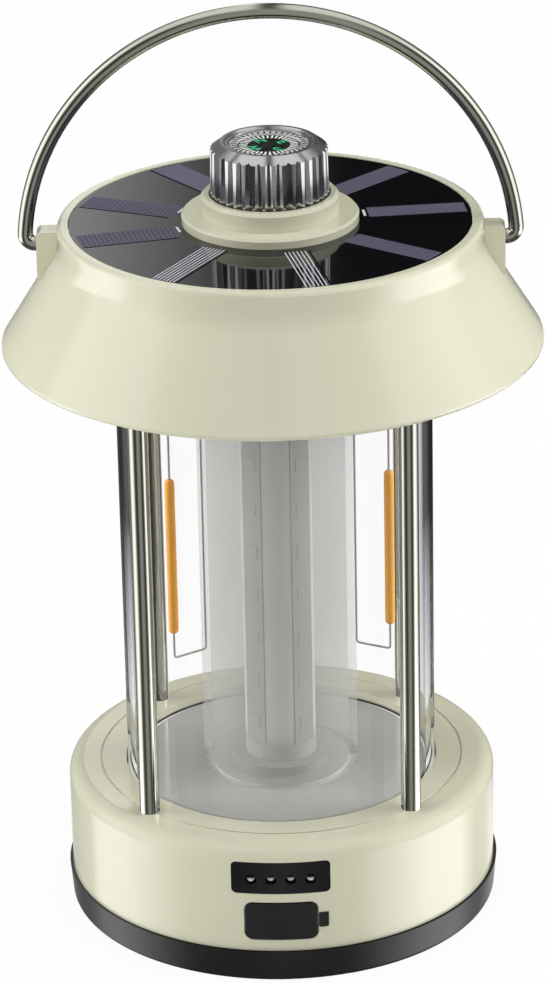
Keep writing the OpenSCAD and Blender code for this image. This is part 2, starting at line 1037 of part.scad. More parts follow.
// cream collar round the foot of the knob
module knob_collar() {
    color("#d6d5bb") {
        rotate_extrude() {
            difference() {
                polygon([
                    [bushing_hole_r, panel_z], [flange_r, panel_z], [flange_r, panel_z + flange_t - flange_edge],
                    [flange_r - flange_edge, panel_z + flange_t], [collar_boss_r, panel_z + flange_t],
                    [collar_boss_r, boss_top - boss_edge], [collar_boss_r - boss_edge, boss_top],
                    [bushing_hole_r, boss_top]
                ]);
                translate([0, knob_floor]) square([knob_r + moving_gap, far]);
                translate([0, nut_pocket_z]) square([nut_pocket_r, far]);
            }
        }
    }
}

// dimmer can under the deck, with its threaded bushing standing up through the head
module dimmer_body() {
    color("#8c8f92") {
        difference() {
            union() {
                rod(can_r, deck_z - can_h, deck_z);
                rod(bushing_r, deck_z - eps, knob_floor);
            }
            rod(shaft_r + running, shaft_z, far);
        }
    }
}

// nut that clamps collar, panel and deck on the bushing
module dimmer_nut() {
    color("#a9a9a4") {
        translate([0, 0, nut_pocket_z]) nut(dimmer_nut_flats, dimmer_nut_h, bushing_r + slip);
    }
}

// outline of the flatted shaft, grown by a play
module shaft_section(play) {
    difference() {
        circle(shaft_r + play);
        translate([shaft_flat + play, -2 * shaft_r]) square([shaft_r, 4 * shaft_r]);
    }
}

// turning shaft of the dimmer, flatted where the knob sits on it
module dimmer_shaft() {
    color("#b9bbbc") {
        rod(shaft_r, shaft_z + shaft_seat, knob_z);
        translate([0, 0, knob_z - eps]) linear_extrude(shaft_top - knob_z + eps) shaft_section(0);
    }
}

// outline of the flutes seen from above
module flutes() {
    polygon([
        for (i = [0:flute_count - 1], k = [-1, 0, 1])
            let (
                a = i * 360 / flute_count + k * flute_half,
                r = k == 0 ? knob_r - knob_taper / 2 - flute_depth : flute_out
            )
            [r * cos(a), r * sin(a)]
    ]);
}

// fluted knob with a bevelled top, a stepped rim, a well for the compass and a flatted hub
module dimmer_knob() {
    top_r = knob_r - knob_taper - knob_edge_w;
    rim_r = top_r - rim_w;
    color("#9b9a92") {
        difference() {
            intersection() {
                translate([0, 0, knob_z]) linear_extrude(knob_h) flutes();
                rotate_extrude() {
                    polygon([
                        [0, knob_z], [knob_r, knob_z], [knob_r - knob_taper, knob_top - knob_edge_h],
                        [top_r, knob_top], [rim_r, knob_top], [rim_r - rim_step, knob_top - rim_step],
                        [0, knob_top - rim_step]
                    ]);
                }
            }
            rod(compass_r, compass_z, far);
            translate([0, 0, knob_top - rim_step - bezel_edge]) {
                cylinder(r1 = compass_r, r2 = compass_r + 2 * bezel_edge, h = 2 * bezel_edge);
            }
            ring(hub_r, knob_r - skirt_t, knob_z - eps, knob_z + skirt_depth);
            translate([0, 0, knob_z - eps]) linear_extrude(shaft_top - knob_z + 2 * eps) shaft_section(slip / 2);
        }
    }
}

// cup that holds the compass
module compass_capsule() {
    color("#101010") {
        difference() {
            rod(capsule_r, compass_z, capsule_top);
            rod(capsule_r - capsule_wall, compass_z + capsule_floor, far);
        }
    }
}

// pin that the compass card floats on
module compass_pivot() {
    color("#b08d4c") rod(pivot_r, compass_z + capsule_floor, pivot_top);
}

// floating compass card with its hub
module compass_card() {
    color("#1b2a22") {
        difference() {
            union() {
                rod(card_r, card_z, card_z + card_t);
                rod(card_hub_r, card_z - card_hub_h, card_z + card_t);
            }
            rod(pivot_r + running, card_z - card_hub_h - eps, pivot_top + running);
        }
    }
}

// clear lens over the compass
module compass_lens() {
    color("#e6efef", 0.4) rod(capsule_r, capsule_top, capsule_top + lens_t);
}

// one end of the bail: leg in the ear, bend, upright and the knuckle where the arc sets off
module bail_end() {
    translate([bail_bend_x, 0, pivot_z]) {
        rotate([0, -90, 0]) cylinder(r = bail_wire_r, h = bail_bend_x - bail_end_x);
        translate([0, 0, bail_bend_r]) rotate([90, 0, 0]) rotate([0, 0, -90]) {
            rotate_extrude(angle = 90) translate([bail_bend_r, 0]) circle(bail_wire_r);
        }
        translate([bail_bend_r, 0, bail_bend_r]) {
            cylinder(r = bail_wire_r, h = bail_link - bail_knuckle_in);
            translate([0, 0, bail_link]) sphere(bail_knuckle_r);
        }
    }
}

// wire bail: an arc with its two ends turned in to the ears
module bail() {
    color("#7b7a6e") {
        translate([0, 0, bail_z]) rotate([90, 0, 0]) rotate([0, 0, bail_arc_start]) {
            rotate_extrude(angle = 180 - 2 * bail_arc_start) translate([bail_r, 0]) circle(bail_wire_r);
        }
        bail_end();
        rotate([0, 0, 180]) bail_end();
    }
}

foot_cover();
foot_screws();
base_housing();
battery_holder();
battery_cell();
main_board();
board_screws();
usb_socket();
indicator_window();
indicator_lights();
indicator_board();
port_strap();
port_cover();
lower_gasket();
reflector_plate();
outer_tube();
diffuser_tube();
core_socket();
core_column();
led_strips();
post_1();
post_2();
post_3();
post_4();
lower_nuts();
upper_nuts();
hanger_1();
hanger_2();
hanger_3();
filament_1();
filament_2();
filament_3();
lead_1();
lead_2();
lead_3();
filament_board();
upper_gasket();
head_cover();
cover_screws();
shade();
solar_panel();
knob_collar();
dimmer_body();
dimmer_nut();
dimmer_shaft();
dimmer_knob();
compass_capsule();
compass_pivot();
compass_card();
compass_lens();
bail();
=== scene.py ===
import bpy
import bmesh
import math
from mathutils import Matrix, Vector


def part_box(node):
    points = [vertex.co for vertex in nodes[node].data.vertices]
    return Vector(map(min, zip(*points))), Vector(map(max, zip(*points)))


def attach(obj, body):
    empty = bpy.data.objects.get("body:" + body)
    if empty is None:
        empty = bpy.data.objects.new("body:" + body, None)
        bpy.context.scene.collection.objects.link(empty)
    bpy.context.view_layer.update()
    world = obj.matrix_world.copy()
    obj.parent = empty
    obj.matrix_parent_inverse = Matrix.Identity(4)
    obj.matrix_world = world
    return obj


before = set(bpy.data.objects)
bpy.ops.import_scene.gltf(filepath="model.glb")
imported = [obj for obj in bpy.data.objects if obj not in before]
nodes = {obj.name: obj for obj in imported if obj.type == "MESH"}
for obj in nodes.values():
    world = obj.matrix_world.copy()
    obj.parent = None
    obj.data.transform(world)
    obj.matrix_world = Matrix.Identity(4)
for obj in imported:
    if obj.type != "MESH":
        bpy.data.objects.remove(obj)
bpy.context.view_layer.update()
scene = bpy.context.scene
mm = 0.001
print("frame loaded:", len(nodes), "nodes")


def linear(hexColour):  # sRGB hex to linear rgba
    parts = [int(hexColour[i:i + 2], 16) / 255 for i in (1, 3, 5)]
    return tuple(c / 12.92 if c <= 0.04045 else ((c + 0.055) / 1.055) ** 2.4 for c in parts) + (1.0,)


def addNode(tree, kind, values=None, links=None, **settings):
    node = tree.nodes.new(kind)
    for key, value in settings.items():
        setattr(node, key, value)
    for key, value in (values or {}).items():
        node.inputs[key].default_value = value
    for key, source in (links or {}).items():
        tree.links.new(source, node.inputs[key])
    return node


def perMm(size):  # pattern scale for a feature that many millimetres wide, on Object coordinates in metres
    return 1 / (size * mm)


# camera, from the ellipses of foot, shade, panel and knob in the photograph
photoCamera = {
    "place": (-0.8, -960.4, 512.7), "yaw": 0.9, "pitch": 23.15, "roll": -1.2,
    "lens": 163.2, "sensor": 36, "near": 0.05,
}
cameraData = bpy.data.cameras.new("photoCamera")
cameraData.sensor_fit = "VERTICAL"
cameraData.sensor_height = photoCamera["sensor"]
cameraData.lens = photoCamera["lens"]
cameraData.clip_start = photoCamera["near"]
camera = bpy.data.objects.new("photoCamera", cameraData)
camera.matrix_world = (
    Matrix.Rotation(math.radians(photoCamera["yaw"]), 4, "Z")
    @ Matrix.Translation(Vector(photoCamera["place"]) * mm)
    @ Matrix.Rotation(math.radians(90 - photoCamera["pitch"]), 4, "X")
    @ Matrix.Rotation(math.radians(photoCamera["roll"]), 4, "Z")
)
scene.collection.objects.link(camera)
scene.camera = camera
scene.view_settings.view_transform = "Standard"
print("camera placed")


def finish(name, look):
    # one finish: two close colours in slow drifts, a fine grain in roughness and bump
    material = bpy.data.materials.new(name)
    material.use_nodes = True
    tree = material.node_tree
    shader = tree.nodes["Principled BSDF"]
    for socket, value in look.get("sockets", {}).items():
        shader.inputs[socket].default_value = value
    coords = addNode(tree, "ShaderNodeTexCoord")
    stretch = addNode(tree, "ShaderNodeMapping", {"Scale": look.get("stretch", (1, 1, 1))},
                      {0: coords.outputs["Object"]})
    drift = addNode(tree, "ShaderNodeTexNoise", {"Scale": perMm(look["drift"]), "Detail": 3}, {0: stretch.outputs[0]})
    grain = addNode(tree, "ShaderNodeTexNoise", {"Scale": perMm(look["grain"]), "Detail": 2}, {0: stretch.outputs[0]})
    colour = addNode(tree, "ShaderNodeMix", {6: linear(look["light"]), 7: linear(look["dark"])},
                     {0: drift.outputs[0]}, data_type="RGBA")
    gloss = addNode(tree, "ShaderNodeMapRange", {3: look["rough"][0], 4: look["rough"][1]}, {0: grain.outputs[0]})
    bump = addNode(tree, "ShaderNodeBump", {"Strength": look["bump"], "Distance": look.get("depth", 0.02) * mm},
                   {"Height": grain.outputs[0]})
    tree.links.new(colour.outputs[2], shader.inputs["Base Color"])
    tree.links.new(gloss.outputs[0], shader.inputs["Roughness"])
    tree.links.new(bump.outputs[0], shader.inputs["Normal"])
    return material


def clearLook(name, look):
    # see-through finish: lamp rays pass straight on, so what stands behind is lit
    material = finish(name, look)
    tree = material.node_tree
    shader = tree.nodes["Principled BSDF"]
    output = tree.nodes["Material Output"]
    path = addNode(tree, "ShaderNodeLightPath")
    passing = addNode(tree, "ShaderNodeBsdfTransparent", {0: linear(look["pass"])})
    mix = addNode(tree, "ShaderNodeMixShader", None,
                  {0: path.outputs["Is Shadow Ray"], 1: shader.outputs[0], 2: passing.outputs[0]})
    tree.links.new(mix.outputs[0], output.inputs["Surface"])
    return material


def whereOn(material):
    # height and distance from the axis, to set a second colour by
    tree = material.node_tree
    coords = addNode(tree, "ShaderNodeTexCoord")
    axes = addNode(tree, "ShaderNodeSeparateXYZ", None, {0: coords.outputs["Object"]})
    level = addNode(tree, "ShaderNodeVectorMath", {1: (1, 1, 0)}, {0: coords.outputs["Object"]}, operation="MULTIPLY")
    radius = addNode(tree, "ShaderNodeVectorMath", None, {0: level.outputs[0]}, operation="LENGTH")
    return tree, axes.outputs["Z"], radius.outputs["Value"]


def paintOver(material, share, second):
    # lays a second colour, a hex or a node's output, over a finish where share is 1
    tree = material.node_tree
    shader = tree.nodes["Principled BSDF"]
    plain = shader.inputs["Base Color"].links[0].from_socket
    coat = addNode(tree, "ShaderNodeMix", None, {0: share.outputs[0], 6: plain}, data_type="RGBA")
    if isinstance(second, str):
        coat.inputs[7].default_value = linear(second)
    else:
        tree.links.new(second, coat.inputs[7])
    tree.links.new(coat.outputs[2], shader.inputs["Base Color"])


# moulded ABS, cream: glossy skin from a polished mould, a trace of flow in the colour
creamAbs = finish("cream ABS moulded", {
    "light": "#dddcc4", "dark": "#d8d7be", "drift": 30, "grain": 0.5, "rough": (0.06, 0.1), "bump": 0.015,
    "sockets": {"IOR": 1.53}})
# moulded ABS, black: the same satin skin, a little duller from handling
blackAbs = finish("black ABS moulded", {
    "light": "#262625", "dark": "#1c1c1b", "drift": 6, "grain": 0.5, "rough": (0.26, 0.36), "bump": 0.15,
    "sockets": {"IOR": 1.53, "Specular IOR Level": 0.42}})
# moulded ABS, white: satin inside of the head that spreads the light
whiteAbs = finish("white ABS moulded", {
    "light": "#f0efe9", "dark": "#e8e7e0", "drift": 30, "grain": 0.6, "rough": (0.3, 0.4), "bump": 0.1,
    "sockets": {"IOR": 1.53}})
# moulded silicone rubber: dull, soft-edged sheen
siliconeRubber = finish("black silicone rubber", {
    "light": "#272727", "dark": "#202020", "drift": 8, "grain": 0.35, "rough": (0.55, 0.7), "bump": 0.2,
    "sockets": {"IOR": 1.41}})
# lower gasket in two shots: milky ring under the tube, black lip round it and black inner edge
gasketSilicone = finish("two-shot silicone", {
    "light": "#f2f1ea", "dark": "#e8e7e0", "drift": 8, "grain": 0.35, "rough": (0.45, 0.6), "bump": 0.1,
    "sockets": {"IOR": 1.41}})
lipLook = {"ring": 1.25, "inner": 35.0, "lip": "#1c1c1c"}
tree, height, radius = whereOn(gasketSilicone)
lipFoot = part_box("lower_gasket")[0].z + lipLook["ring"] * mm
above = addNode(tree, "ShaderNodeMath", {1: lipFoot}, {0: height}, operation="GREATER_THAN")
inside = addNode(tree, "ShaderNodeMath", {1: lipLook["inner"] * mm}, {0: radius}, operation="LESS_THAN")
black = addNode(tree, "ShaderNodeMath", None, {0: above.outputs[0], 1: inside.outputs[0]}, operation="MAXIMUM")
paintOver(gasketSilicone, black, lipLook["lip"])
# sprayed plate under the lamp: grey with a gloss clear coat
greyPlate = finish("grey gloss paint", {
    "light": "#adada9", "dark": "#a5a5a1", "drift": 25, "grain": 0.8, "rough": (0.14, 0.22), "bump": 0.04,
    "sockets": {"IOR": 1.5, "Coat Weight": 0.4, "Coat Roughness": 0.05}})
# painted light: the groove that holds the diffuser is painted near white, so its shade does not show as a dark ring
grooveLightLook = {"depth": 0.15, "reach": 1.0, "grooveLight": "#f6f6f2"}
tree, height, radius = whereOn(greyPlate)
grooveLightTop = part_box("reflector_plate")[1].z - grooveLightLook["depth"] * mm
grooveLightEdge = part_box("diffuser_tube")[1].x + grooveLightLook["reach"] * mm
below = addNode(tree, "ShaderNodeMath", {1: grooveLightTop}, {0: height}, operation="LESS_THAN")
inside = addNode(tree, "ShaderNodeMath", {1: grooveLightEdge}, {0: radius}, operation="LESS_THAN")
grooveLight = addNode(tree, "ShaderNodeMath", None, {0: below.outputs[0], 1: inside.outputs[0]}, operation="MULTIPLY")
paintOver(greyPlate, grooveLight, grooveLightLook["grooveLight"])
# extruded polycarbonate: the coat carries the shine, the thin wall hardly bends what stands behind it
clearPolycarbonate = clearLook("clear polycarbonate", {
    "light": "#ffffff", "dark": "#fcfcfc", "drift": 40, "grain": 6, "rough": (0.005, 0.01), "bump": 0.0004,
    "depth": 0.01, "stretch": (1, 1, 0.05), "pass": "#fafafa",
    "sockets": {"IOR": 1.03, "Transmission Weight": 1.0,
                "Coat Weight": 0.2, "Coat IOR": 1.5, "Coat Roughness": 0.02}})
# painted shade: seen edge on, its wall is tinted dark under the head and pale above the base, by height
edgeShadeLook = {"skin": 35.8, "from": 0.56, "to": 0.68, "low": 42, "high": 100, "pale": "#dcdce0", "deep": "#222224"}
tree, height, radius = whereOn(clearPolycarbonate)
skin = addNode(tree, "ShaderNodeMath", {1: edgeShadeLook["skin"] * mm}, {0: radius}, operation="GREATER_THAN")
weight = addNode(tree, "ShaderNodeLayerWeight", {"Blend": 0.5})
edge = addNode(tree, "ShaderNodeMapRange", {1: edgeShadeLook["from"], 2: edgeShadeLook["to"]}, {0: weight.outputs["Facing"]})
edge = addNode(tree, "ShaderNodeMath", None, {0: edge.outputs[0], 1: skin.outputs[0]}, operation="MULTIPLY")
lift = addNode(tree, "ShaderNodeMapRange", {1: edgeShadeLook["low"] * mm, 2: edgeShadeLook["high"] * mm}, {0: height})
edgeShadeTint = addNode(tree, "ShaderNodeMix", {6: linear(edgeShadeLook["pale"]), 7: linear(edgeShadeLook["deep"])},
               {0: lift.outputs[0]}, data_type="RGBA")
paintOver(clearPolycarbonate, edge, edgeShadeTint.outputs[2])
# moulded acrylic of the compass lens: clear and polished
clearAcrylic = clearLook("clear acrylic", {
    "light": "#ffffff", "dark": "#fafcfc", "drift": 5, "grain": 2, "rough": (0.005, 0.01), "bump": 0.001,
    "depth": 0.01, "pass": "#f8faf9",
    "sockets": {"IOR": 1.05, "Transmission Weight": 1.0,
                "Coat Weight": 0.15, "Coat IOR": 1.5, "Coat Roughness": 0.02}})
# extruded opal acrylic: milky, lets the core show as a soft shadow
opalAcrylic = clearLook("opal acrylic", {
    "light": "#c0bfbd", "dark": "#b6b5b3", "drift": 40, "grain": 3, "rough": (0.3, 0.38), "bump": 0.03,
    "stretch": (1, 1, 0.1), "pass": "#f4f4f2", "sockets": {"IOR": 1.49, "Alpha": 0.31}})
# polished nickel plate: dark warm mirror with fine buffing lines along the part
nickelPlate = finish("polished nickel plate", {
    "light": "#d6d6c8", "dark": "#cdcdbf", "drift": 12, "grain": 0.5, "rough": (0.1, 0.16), "bump": 0.03,
    "stretch": (1, 1, 0.05), "sockets": {"Metallic": 1.0}})
# bright chrome on a turned knob: neutral mirror, faint turning lines round the part
chromePlate = finish("bright chrome plate", {
    "light": "#d6d6d6", "dark": "#cccccd", "drift": 8, "grain": 0.4, "rough": (0.13, 0.18), "bump": 0.02,
    "stretch": (0.1, 0.1, 1), "sockets": {"Metallic": 1.0}})
# zinc plated steel: bright, slightly mottled
zincSteel = finish("zinc plated steel", {
    "light": "#b9b9b6", "dark": "#a6a6a2", "drift": 2, "grain": 0.2, "rough": (0.25, 0.4), "bump": 0.05,
    "sockets": {"Metallic": 1.0}})
# tinned copper wire: soft grey shine
tinnedWire = finish("tinned wire", {
    "light": "#c4c2ba", "dark": "#b6b4ac", "drift": 3, "grain": 0.2, "rough": (0.3, 0.4), "bump": 0.05,
    "sockets": {"Metallic": 0.4}})
# drawn aluminium: pale satin with draw lines
aluminium = finish("drawn aluminium", {
    "light": "#b5b5b3", "dark": "#a8a8a6", "drift": 10, "grain": 0.4, "rough": (0.35, 0.45), "bump": 0.08,
    "stretch": (1, 1, 0.03), "sockets": {"Metallic": 0.6}})
# powder-coated core, pale and dull: shows as a soft shadow in the diffuser
paleCoat = finish("pale powder coat", {
    "light": "#fefdfa", "dark": "#f8f7f4", "drift": 10, "grain": 0.4, "rough": (0.45, 0.55), "bump": 0.08,
    "stretch": (1, 1, 0.03), "sockets": {"IOR": 1.5}})
# painted shade: its foot below the strips is painted greyer, darker towards the socket
coreFootShadeLook = {"from": -0.5, "to": 3.5, "grey": "#cfceca"}
tree, height, _ = whereOn(paleCoat)
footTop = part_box("led_strips")[0].z
foot = addNode(tree, "ShaderNodeMapRange",
               {1: footTop + coreFootShadeLook["to"] * mm, 2: footTop + coreFootShadeLook["from"] * mm}, {0: height})
paintOver(paleCoat, foot, coreFootShadeLook["grey"])
# solder mask of the LED strips, off-white and a little duller than the core
stripMask = finish("white solder mask", {
    "light": "#c2c2be", "dark": "#bcbcb8", "drift": 6, "grain": 0.4, "rough": (0.4, 0.5), "bump": 0.06,
    "sockets": {"IOR": 1.5}})
# silver lacquer in the compass cup: bright ring round the card
silverLacquer = finish("silver lacquer", {
    "light": "#f2f2f0", "dark": "#e8e8e6", "drift": 2, "grain": 0.2, "rough": (0.25, 0.35), "bump": 0.05,
    "sockets": {"IOR": 1.5}})
# phosphor in silicone: waxy amber stick
amberSilicone = finish("amber phosphor silicone", {
    "light": "#fbb54c", "dark": "#f2a840", "drift": 4, "grain": 0.3, "rough": (0.4, 0.5), "bump": 0.1,
    "sockets": {"IOR": 1.41}})
# glass-fibre board under green solder mask: an even satin green
circuitBoard = finish("green circuit board", {
    "light": "#2f6a40", "dark": "#285a36", "drift": 3, "grain": 0.4, "rough": (0.3, 0.42), "bump": 0.1,
    "sockets": {"IOR": 1.5}})
# film shrunk round the cell: smooth blue with a soft shine
cellSleeve = finish("blue shrink sleeve", {
    "light": "#3d6d98", "dark": "#335f88", "drift": 10, "grain": 0.8, "rough": (0.22, 0.32), "bump": 0.1,
    "sockets": {"IOR": 1.5}})
# smoked acrylic of the indicator window: polished, near black
smokedAcrylic = finish("smoked acrylic", {
    "light": "#1a1a1a", "dark": "#151515", "drift": 8, "grain": 1.2, "rough": (0.08, 0.14), "bump": 0.03,
    "sockets": {"IOR": 1.49}})
# epoxy cast in small domes for the charge lights: hard, clear shine
ledEpoxy = finish("clear epoxy", {
    "light": "#f2f2ef", "dark": "#e8e8e5", "drift": 1, "grain": 0.3, "rough": (0.06, 0.12), "bump": 0.03,
    "sockets": {"IOR": 1.5}})
# painted shade and light: each dome is painted dark in its upper part, where its hole shades it, and pale along its
# lower lip, as if lit from above
domeShadeLook = {"from": -0.1, "to": 0.4, "deep": "#161616"}
tree, height, _ = whereOn(ledEpoxy)
lensLow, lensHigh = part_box("indicator_lights")
middle = (lensLow.z + lensHigh.z) / 2
lift = addNode(tree, "ShaderNodeMapRange",
               {1: middle + domeShadeLook["from"] * mm, 2: middle + domeShadeLook["to"] * mm}, {0: height})
paintOver(ledEpoxy, lift, domeShadeLook["deep"])
# black cells under a poured gloss laminate
solarLaminate = finish("solar cell laminate", {
    "light": "#101014", "dark": "#0b0b0e", "drift": 14, "grain": 2.5, "rough": (0.04, 0.07), "bump": 0.004,
    "depth": 0.01, "sockets": {"IOR": 1.5}})
# groove between two cells, left matt: a line that catches no light
gapBlack = finish("matt black groove", {
    "light": "#0c0c0d", "dark": "#08080a", "drift": 2, "grain": 0.3, "rough": (0.8, 0.9), "bump": 0.1,
    "sockets": {"Specular IOR Level": 0.1}})
# silver paste printed on the cells: pale lines with hardly any shine
ribbonSilver = finish("printed silver", {
    "light": "#ececf6", "dark": "#e0e0ee", "drift": 3, "grain": 0.3, "rough": (0.3, 0.45), "bump": 0.1,
    "sockets": {"Metallic": 0.1}})
# fine print that runs together to a slate band
ribbonSlate = finish("printed slate band", {
    "light": "#5c5c72", "dark": "#525266", "drift": 3, "grain": 0.3, "rough": (0.35, 0.5), "bump": 0.1,
    "sockets": {"IOR": 1.5, "Specular IOR Level": 0.3}})
# thinner print between the rungs of a slate band: darker stripes across it
rungSlate = finish("printed rung", {
    "light": "#3c3c4c", "dark": "#343444", "drift": 2, "grain": 0.3, "rough": (0.4, 0.5), "bump": 0.1,
    "sockets": {"IOR": 1.5, "Specular IOR Level": 0.3}})
# moulded acetal of the compass card: waxy black that leaves the print clear
blackAcetal = finish("black acetal", {
    "light": "#0e100f", "dark": "#0a0c0b", "drift": 4, "grain": 0.3, "rough": (0.35, 0.45), "bump": 0.1,
    "sockets": {"IOR": 1.48, "Specular IOR Level": 0.15}})
# turned brass of the compass pin: warm metal with fine lathe lines
turnedBrass = finish("turned brass", {
    "light": "#c9a45a", "dark": "#b8934b", "drift": 1, "grain": 0.1, "rough": (0.2, 0.3), "bump": 0.05,
    "sockets": {"Metallic": 1.0}})
# screen inks on the card: matt, even and a little raised
whiteInk = finish("white screen ink", {
    "light": "#f4f4f0", "dark": "#e6e6e2", "drift": 1, "grain": 0.15, "rough": (0.4, 0.5), "bump": 0.1})
greenInk = finish("green screen ink", {
    "light": "#3fbd8a", "dark": "#33ab7a", "drift": 1, "grain": 0.15, "rough": (0.4, 0.5), "bump": 0.1})

wardrobe = [
    (creamAbs, "base_housing shade knob_collar"),
    (blackAbs, "foot_cover battery_holder"),
    (whiteAbs, "head_cover"),
    (siliconeRubber, "port_cover port_strap upper_gasket"),
    (gasketSilicone, "lower_gasket"),
    (greyPlate, "reflector_plate core_socket"),
    (clearPolycarbonate, "outer_tube"),
    (clearAcrylic, "compass_lens"),
    (opalAcrylic, "diffuser_tube"),
    (nickelPlate, "post_1 post_2 post_3 post_4 bail"),
    (chromePlate, "dimmer_knob"),
    (zincSteel, "foot_screws board_screws cover_screws lower_nuts upper_nuts dimmer_nut usb_socket"),
    (tinnedWire, "hanger_1 hanger_2 hanger_3 lead_1 lead_2 lead_3"),
    (paleCoat, "core_column"),
    (stripMask, "led_strips"),
    (aluminium, "dimmer_body dimmer_shaft"),
    (silverLacquer, "compass_capsule"),
    (amberSilicone, "filament_1 filament_2 filament_3"),
    (circuitBoard, "main_board indicator_board filament_board"),
    (cellSleeve, "battery_cell"),
    (smokedAcrylic, "indicator_window"),
    (ledEpoxy, "indicator_lights"),
    (solarLaminate, "solar_panel"),
    (blackAcetal, "compass_card"),
    (turnedBrass, "compass_pivot"),
]
for material, names in wardrobe:
    for name in names.split():
        nodes[name].data.materials.clear()
        nodes[name].data.materials.append(material)
for name in ("base_housing", "shade"):  # posts and bail mirror the surround down to their feet
    nodes[name].visible_glossy = False
print("CAD nodes dressed")


def newPiece(name, bm, material, body):
    bmesh.ops.recalc_face_normals(bm, faces=bm.faces)
    mesh = bpy.data.meshes.new(name)
    bm.to_mesh(mesh)
    bm.free()
    piece = bpy.data.objects.new(name, mesh)
    scene.collection.objects.link(piece)
    mesh.materials.append(material)
    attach(piece, body)
    return piece


def addBar(bm, size, place):
    # a bar of that size in mm, set by a matrix in metres
    scale = Matrix.Diagonal(Vector([s * mm for s in size] + [1]))
    return bmesh.ops.create_cube(bm, size=1, matrix=place @ scale)["verts"]


# ribbons on the solar panel: bright fingers, or a slate band with faint rungs, beside the gap to the next cell
ribbons = {
    "inner": 22.6, "outer": 45.4, "fingerShare": 0.24, "proud": 0.02, "gap": 0.45,
    "rung": 0.3, "rungPitch": 1.1, "rungs": 20, "rungShare": 0.9, "tabEnds": (1.2, 0.6),
    "strips": [  # direction in degrees, shift to its left and width in mm, number of fingers or kind of band
        (127.5, -3.0, 7.3, "band"), (158.5, 2.4, 7.6, "ladder"), (-165, 1.5, 7.8, "ladder"),
        (-118.9, -1.7, 6.1, 7), (-77.5, 0.8, 5.5, 6), (-35.7, 0, 6.0, "ladder"),
        (6.7, 1.1, 6.3, "band"), (46.9, 1.3, 6.5, "ladder"), (85.9, 0, 6.5, "band"),
    ],
    "tabs": [(158.5, 1.0, 3.6), (-165, 0.4, 3.6), (6.7, 0.8, 4.2)],  # solder tails across three inner ends
}
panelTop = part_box("solar_panel")[1].z
ribbonMeshes = {"silver": bmesh.new(), "slate": bmesh.new(), "rung": bmesh.new(), "gap": bmesh.new()}


def layRibbon(layer, angle, inner, side, wide, lift, outer=None):
    # one flat bar along a ribbon's direction, out to the panel's rim unless told otherwise
    outer = outer or math.sqrt(ribbons["outer"] ** 2 - (abs(side) + wide / 2) ** 2)
    place = Matrix.Translation(((inner + outer) / 2 * mm, side * mm, panelTop + (lift + 0.5) * ribbons["proud"] * mm))
    addBar(ribbonMeshes[layer], (outer - inner, wide, ribbons["proud"]),
           Matrix.Rotation(math.radians(angle), 4, "Z") @ place)


for angle, shift, width, kind in ribbons["strips"]:
    layRibbon("gap", angle, ribbons["inner"], shift + width / 2 + ribbons["gap"], ribbons["gap"], 0)
    if kind in ("band", "ladder"):
        layRibbon("slate", angle, ribbons["inner"], shift, width, 0)
    else:
        pitch = width / kind
        for i in range(kind):
            side = shift + (i - (kind - 1) / 2) * pitch
            layRibbon("silver", angle, ribbons["inner"], side, ribbons["fingerShare"] * pitch, 0)
    if kind == "ladder":
        for i in range(ribbons["rungs"]):
            rung = ribbons["inner"] + (i + 0.5) * ribbons["rungPitch"]
            layRibbon("rung", angle, rung, shift, ribbons["rungShare"] * width, 1, rung + ribbons["rung"])
for angle, side, length in ribbons["tabs"]:
    tabFrom, tabTo = (ribbons["inner"] - end for end in ribbons["tabEnds"])
    layRibbon("silver", angle, tabFrom, side, length, 1, tabTo)
newPiece("panel_fingers", ribbonMeshes["silver"], ribbonSilver, "lantern")
newPiece("panel_bands", ribbonMeshes["slate"], ribbonSlate, "lantern")
newPiece("panel_rungs", ribbonMeshes["rung"], rungSlate, "lantern")
newPiece("panel_gaps", ribbonMeshes["gap"], gapBlack, "lantern")
print("ribbons laid")


# compass card: ring of white ticks, green letters between ring and hub
dial = {
    "turn": 33, "ticks": 36, "tickRing": 5.85, "tick": (1.9, 0.4), "ink": 0.05,
    "letterRing": 3.6, "letterSize": 3.7, "letterSwell": 0.06,
    "bezelRing": 8.0, "bezelMark": (1.1, 0.5), "bezelInk": 0.02,
}
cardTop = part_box("compass_card")[1].z
bm = bmesh.new()
for i in range(dial["ticks"]):
    turn = Matrix.Rotation(math.radians(dial["turn"]) + 2 * math.pi * i / dial["ticks"], 4, "Z")
    lift = Vector((dial["tickRing"] * mm, 0, cardTop + dial["ink"] / 2 * mm))
    addBar(bm, (*dial["tick"], dial["ink"]), turn @ Matrix.Translation(lift))
newPiece("compass_ticks", bm, whiteInk, "compass_card")

bm = bmesh.new()
for i, letter in enumerate("ENWS"):
    text = bpy.data.curves.new("letter", "FONT")
    text.body = letter
    text.size = dial["letterSize"] * mm
    text.align_x = "CENTER"
    text.align_y = "CENTER"
    text.offset = dial["letterSwell"] * mm
    text.extrude = dial["ink"] / 2 * mm
    holder = bpy.data.objects.new("letter", text)
    mesh = bpy.data.meshes.new_from_object(holder)
    turn = Matrix.Rotation(math.radians(dial["turn"] + 90 * i), 4, "Z")
    lift = Matrix.Translation((dial["letterRing"] * mm, 0, cardTop + dial["ink"] / 2 * mm))
    mesh.transform(turn @ lift @ Matrix.Rotation(-math.pi / 2, 4, "Z"))
    bm.from_mesh(mesh)
    bpy.data.objects.remove(holder)
    bpy.data.meshes.remove(mesh)
newPiece("compass_letters", bm, greenInk, "compass_card")

